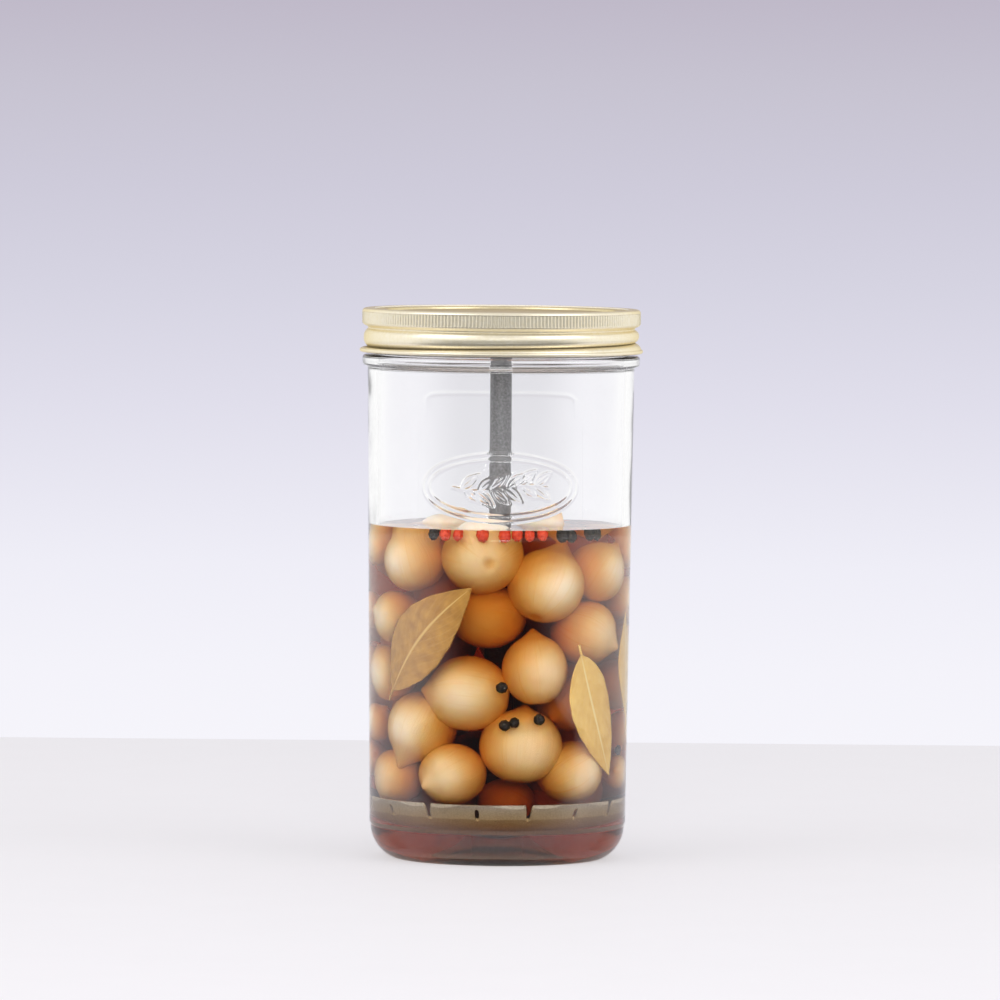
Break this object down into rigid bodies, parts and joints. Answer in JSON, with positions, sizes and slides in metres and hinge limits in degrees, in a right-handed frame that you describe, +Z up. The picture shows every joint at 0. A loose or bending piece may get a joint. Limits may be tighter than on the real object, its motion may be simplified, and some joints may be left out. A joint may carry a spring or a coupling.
{
  "type": "pickle jar with lifter",
  "caption": "Tall round glass jar of pickled onions in amber vinegar, closed with a gold two-piece screw lid, with a steel lifting plate on a rod inside.",
  "frame": {"origin": "centre of the jar's resting ring, on the surface that it stands on", "axes": "+Z up along the jar's axis, -Y towards the front with the medallion and the bay leaves, +X to the right seen from the front"},
  "size_m": [0.1006, 0.1006, 0.195],
  "materials": {
    "glass": "clear soda-lime glass, pressed and blown",
    "vinegar": "clear amber-brown vinegar",
    "gold_lacquer": "tinplate under satin pale gold lacquer",
    "seal": "moulded pale sealing compound",
    "steel": "satin stainless steel",
    "onion": "peeled pickled onion, moist satin",
    "bay_leaf": "dried bay leaf, matt with pale veins",
    "black_pepper": "wrinkled black peppercorn",
    "pink_pepper": "papery red peppercorn"
  },
  "bodies": {
    "root": {"glass_jar": "glass", "sealing_ring": "seal", "lid_disc": "gold_lacquer", "screw_band": "gold_lacquer", "lifter_plate": "steel", "lifter_rod": "steel", "foot_nut": "steel", "pickling_liquid": "vinegar", "top_onion_1": "onion", "top_onion_2": "onion", "top_onion_3": "onion"}
  },
  "joints": []
}
